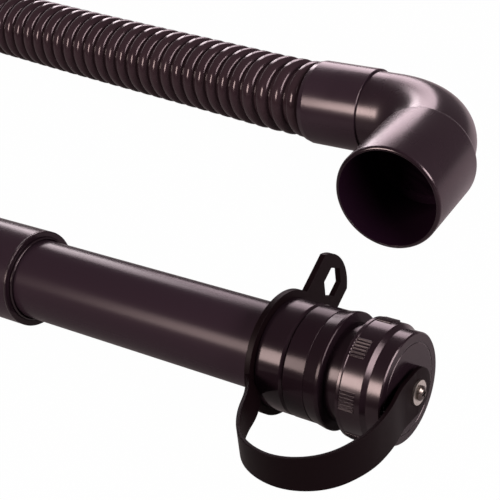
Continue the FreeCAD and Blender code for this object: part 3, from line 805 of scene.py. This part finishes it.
class KIT_OT_plastics(bpy.types.Operator):
    """Finish the tubes, the fittings, the cap and the tether"""

    bl_idname = "kit.plastics"
    bl_label = "Plastics"

    def execute(self, context):
        colours = context.scene.kit_finishes
        # Extruded PVC: a satin gloss with faint draw lines along the tube
        tube = black_plastic("extruded_pvc", colours.tube_black,
                             roughness=0.26, shine=0.12, **DRAWN)
        # The same, rubbed by the seal each time that it slides: a little less gloss
        slid = black_plastic("rubbed_pvc", colours.tube_black,
                             roughness=0.26, shine=0.09, **DRAWN)
        # Injection-moulded polypropylene, polished in the mould: a clear gloss
        moulded = black_plastic("polished_polypropylene", colours.moulded_black,
                                roughness=0.20, shine=0.16, **POLISHED)
        # The collar's, which hands have rubbed
        handled = black_plastic("handled_polypropylene", colours.moulded_black,
                                roughness=0.20, shine=0.09, **POLISHED)
        # The cap's, with the mould's ring line on its face and dull grip ribs
        cap = black_plastic("ringed_polypropylene", colours.moulded_black,
                            roughness=0.20, shine=0.26, marks=cap_marks, **POLISHED)
        # The same plastic where the socket's rim is turned and buffed
        rim = black_plastic("buffed_polypropylene", colours.moulded_black,
                            roughness=0.14, shine=0.34, **POLISHED)
        # The tube's end ring: polished, with a soft round on its rims
        mouth = black_plastic("rounded_polypropylene", colours.moulded_black,
                              roughness=0.16, shine=0.40, edge=0.0022, **POLISHED)
        # The same plastic with a plain mould finish: softer, slightly waxy
        satin = black_plastic("satin_polypropylene", colours.elbow_black,
                              roughness=0.26, shine=0.45, **SATIN)
        # The cuffs', a little clearer
        cuff = black_plastic("clear_polypropylene", colours.tube_black,
                             roughness=0.22, shine=0.30, **SATIN)
        # The inside of the bend and the socket: matt, with almost no gloss and a slightly
        # darker, more violet tone, painted shade in the bore
        bore = black_plastic("matt_bore_painted_shade", colours.shaded_bore_black,
                             roughness=0.60, shine=0.03, grain=0.0015, relief=0.00004)
        # Thermoplastic elastomer: dull, with very little gloss
        strap = black_plastic("moulded_elastomer", colours.strap_black,
                              roughness=0.42, shine=0.04, grain=0.0012, relief=0.00004)
        # Plasticised PVC of the hose: wet-looking gloss
        hose = black_plastic("hose_pvc", colours.hose_black, roughness=0.15, shine=0.22,
                             grain=0.0030, relief=0.00004, edge=0.0003)
        # Nitrile rubber: matt and soft
        seal = black_plastic("nitrile_rubber", colours.seal_black,
                             roughness=0.55, shine=0.04, grain=0.0010, relief=0.00004)
        # The same rubber on the wiper's lip, wet with grease
        lip = black_plastic("greased_rubber", colours.seal_black, roughness=0.22, shine=0.45,
                            grain=0.0010, relief=0.00002, edge=0.0012)
        paint(("outer_tube",), tube)
        paint(("inner_tube",), slid)
        paint(("coupling_body",), moulded)
        paint(("coupling_collar",), handled)
        paint(("cap_shell",), cap)
        paint(("tail_cuff", "front_cuff", "guide_ring"), cuff)
        paint(("mouth_bush",), mouth)
        paint(("tether_ring",), strap)
        paint(("wiper_seal",), lip)
        paint(("cap_gasket",), seal)
        # The seal inside the socket takes the bore's painted shade too
        paint(("elbow_seal",), bore)
        for name, finishes in (
            ("ribbed_hose", (hose,)),
            ("elbow_bend", (satin, bore)),
            ("socket_shell", (satin, bore, rim)),
            ("tether_strap_flat", (strap,)),
        ):
            for finish in finishes:
                bpy.data.objects[name].data.materials.append(finish)
        return {"FINISHED"}


class KIT_OT_metals(bpy.types.Operator):
    """Finish the washer, the screw and its insert"""

    bl_idname = "kit.metals"
    bl_label = "Metals"

    def execute(self, context):
        colours = context.scene.kit_finishes
        # Stamped stainless sheet: bright, with a soft blur
        steel = bright_metal("stainless_steel", colours.steel, 0.28)
        # Turned brass: its lines run round the screw
        brass = bright_metal("turned_brass", colours.brass, 0.35, stretch=(6, 1, 1))
        # The screw's darker steel: a sharper mirror
        screw = bright_metal("screw_steel", colours.screw_steel, 0.22)
        paint(("strap_washer",), steel)
        paint(("cap_screw",), screw)
        paint(("screw_insert",), brass)
        return {"FINISHED"}


def softbox(name, place, aim, width, height, watts, colour):
    """A rectangular lamp that faces a point."""
    lamp = bpy.data.lights.new(name, "AREA")
    lamp.shape = "RECTANGLE"
    lamp.size = width
    lamp.size_y = height
    lamp.energy = watts
    lamp.color = linear(colour)[:3]
    holder = object_from(name, lamp)
    holder.location = place
    direction = Vector(aim) - Vector(place)
    holder.rotation_euler = direction.to_track_quat("-Z", "Y").to_euler()
    holder.visible_camera = False


def studio_rays(tree):
    """What the floor and the world tell apart: the rays from the camera, the
    rays that gloss sends out, and the white that each of the two meets."""
    rays = add_node(tree, "ShaderNodeLightPath")
    mirrored = add_node(tree, "ShaderNodeMath", {"operation": "MAXIMUM"},
                        {0: rays.outputs["Is Glossy Ray"],
                         1: rays.outputs["Is Transmission Ray"]})
    shade = add_node(tree, "ShaderNodeMix",
                     {"data_type": "RGBA", 6: linear(MIRRORED_WHITE), 7: (1, 1, 1, 1)},
                     {0: rays.outputs["Is Camera Ray"]})
    return rays.outputs["Is Camera Ray"], mirrored.outputs["Value"], shade.outputs[2]


class KIT_OT_stage(bpy.types.Operator):
    """Set up the floor, the lamps, the world and the camera"""

    bl_idname = "kit.stage"
    bl_label = "Stage"

    def execute(self, context):
        scene = context.scene
        self.floor()
        self.world(scene)
        for lamp in LAMPS:
            softbox(*lamp)
        self.camera(scene)
        scene.view_settings.view_transform = "Standard"
        return {"FINISHED"}

    def floor(self):
        """A wide pale floor that reads white from the camera, with a painted pool
        of light on it that only reflections show.
        """
        mesh = bpy.data.meshes.new("floor")
        shape = bmesh.new()
        bmesh.ops.create_grid(shape, x_segments=1, y_segments=1, size=FLOOR_HALF)
        bmesh.ops.translate(shape, verts=shape.verts, vec=(0, 0, -FLOOR_BELOW))
        shape.to_mesh(mesh)
        shape.free()
        floor = object_from("floor", mesh)
        # White paper: matt, and washed out to white where the camera sees it
        material, tree = new_material("white_paper")
        camera, mirrored, shade = studio_rays(tree)
        place = add_node(tree, "ShaderNodeTexCoord")
        # Painted light: a pool of glow on the paper that only the gloss sees, brighter then
        # fainter along one way
        side = add_node(tree, "ShaderNodeVectorMath", {"operation": "DOT_PRODUCT", 1: PAINTED_GLOW_WAY},
                        {0: place.outputs["Object"]})
        rise, fade = [
            add_node(tree, "ShaderNodeMapRange",
                     {"interpolation_type": "SMOOTHSTEP", "From Min": near, "From Max": far,
                      "To Min": first, "To Max": last},
                     {"Value": side.outputs["Value"]})
            for near, far, first, last in PAINTED_GLOW_STEPS
        ]
        painted_glow = add_node(tree, "ShaderNodeMath", {"operation": "MULTIPLY"},
                        {0: rise.outputs["Result"], 1: fade.outputs["Result"]})
        dimmed = add_node(tree, "ShaderNodeMath", {"operation": "MULTIPLY"},
                          {0: mirrored, 1: painted_glow.outputs["Value"]})
        seen = add_node(tree, "ShaderNodeMath", {"operation": "MULTIPLY_ADD", 1: FLOOR_WHITE},
                        {0: camera, 2: dimmed.outputs["Value"]})
        paper = add_node(tree, "ShaderNodeBsdfDiffuse", {"Color": linear(PAPER_GREY)})
        white = add_node(tree, "ShaderNodeEmission", {"Strength": 1.0}, {"Color": shade})
        mix = add_node(tree, "ShaderNodeMixShader", None,
                       {0: seen.outputs["Value"], 1: paper.outputs["BSDF"],
                        2: white.outputs["Emission"]})
        add_node(tree, "ShaderNodeOutputMaterial", None, {"Surface": mix.outputs["Shader"]})
        floor.data.materials.append(material)

    def world(self, scene):
        """Even studio light, white to the camera."""
        world = bpy.data.worlds.new("studio")
        scene.world = world
        world.use_nodes = True
        tree = world.node_tree
        tree.nodes.clear()
        camera, mirrored, shade = studio_rays(tree)
        dimmed = add_node(tree, "ShaderNodeMath", {"operation": "MULTIPLY", 1: WHITE_IN_GLOSS},
                          {0: mirrored})
        plain = add_node(tree, "ShaderNodeMath",
                         {"operation": "MULTIPLY_ADD", 1: ROOM_IN_GLOSS - ROOM_STRENGTH,
                          2: ROOM_STRENGTH},
                         {0: mirrored})
        seen = add_node(tree, "ShaderNodeMath", {"operation": "MAXIMUM"},
                        {0: camera, 1: dimmed.outputs["Value"]})
        lit = add_node(tree, "ShaderNodeBackground", {"Color": linear(ROOM_LIGHT)},
                       {"Strength": plain.outputs["Value"]})
        white = add_node(tree, "ShaderNodeBackground", {"Strength": 1.0}, {"Color": shade})
        mix = add_node(tree, "ShaderNodeMixShader", None,
                       {0: seen.outputs["Value"], 1: lit.outputs["Background"],
                        2: white.outputs["Background"]})
        add_node(tree, "ShaderNodeOutputWorld", None, {"Surface": mix.outputs["Shader"]})

    def camera(self, scene):
        stage = scene.kit_stage
        flat = math.cos(stage.elevation)
        ahead = Vector((-math.sin(stage.azimuth) * flat,
                        math.cos(stage.azimuth) * flat,
                        -math.sin(stage.elevation)))
        right = ahead.cross(Vector((0, 0, 1))).normalized()
        up = right.cross(ahead)
        right = Matrix.Rotation(stage.roll, 3, ahead) @ right
        up = Matrix.Rotation(stage.roll, 3, ahead) @ up
        camera = bpy.data.cameras.new("camera")
        camera.lens = stage.lens
        camera.sensor_width = SENSOR_WIDTH
        holder = object_from("camera", camera)
        turn = Matrix((right, up, -ahead)).transposed()
        place = Vector(stage.target) - ahead * stage.distance
        holder.matrix_world = Matrix.Translation(place) @ turn.to_4x4()
        scene.camera = holder


class KIT_PT_panel(bpy.types.Panel):
    bl_idname = "KIT_PT_panel"
    bl_label = "Hose Kit"
    bl_space_type = "VIEW_3D"
    bl_region_type = "UI"
    bl_category = "Hose Kit"

    def draw(self, context):
        for step in STEPS:
            self.layout.operator(step.bl_idname)


STEPS = (KIT_OT_hose, KIT_OT_elbow, KIT_OT_strap, KIT_OT_plastics, KIT_OT_metals, KIT_OT_stage)
GROUPS = {
    "kit_hose": HoseSizes,
    "kit_elbow": ElbowSizes,
    "kit_strap": StrapSizes,
    "kit_finishes": Finishes,
    "kit_stage": StageSettings,
}
CLASSES = (*GROUPS.values(), *STEPS, KIT_PT_panel)


def register():
    for kind in CLASSES:
        bpy.utils.register_class(kind)
    for name, kind in GROUPS.items():
        setattr(bpy.types.Scene, name, PointerProperty(type=kind))


def unregister():
    for name in GROUPS:
        delattr(bpy.types.Scene, name)
    for kind in reversed(CLASSES):
        bpy.utils.unregister_class(kind)


def main():
    register()
    bpy.ops.kit.hose()
    bpy.ops.kit.elbow()
    bpy.ops.kit.strap()
    bpy.ops.kit.plastics()
    bpy.ops.kit.metals()
    bpy.ops.kit.stage()


if __name__ == "__main__":
    main()
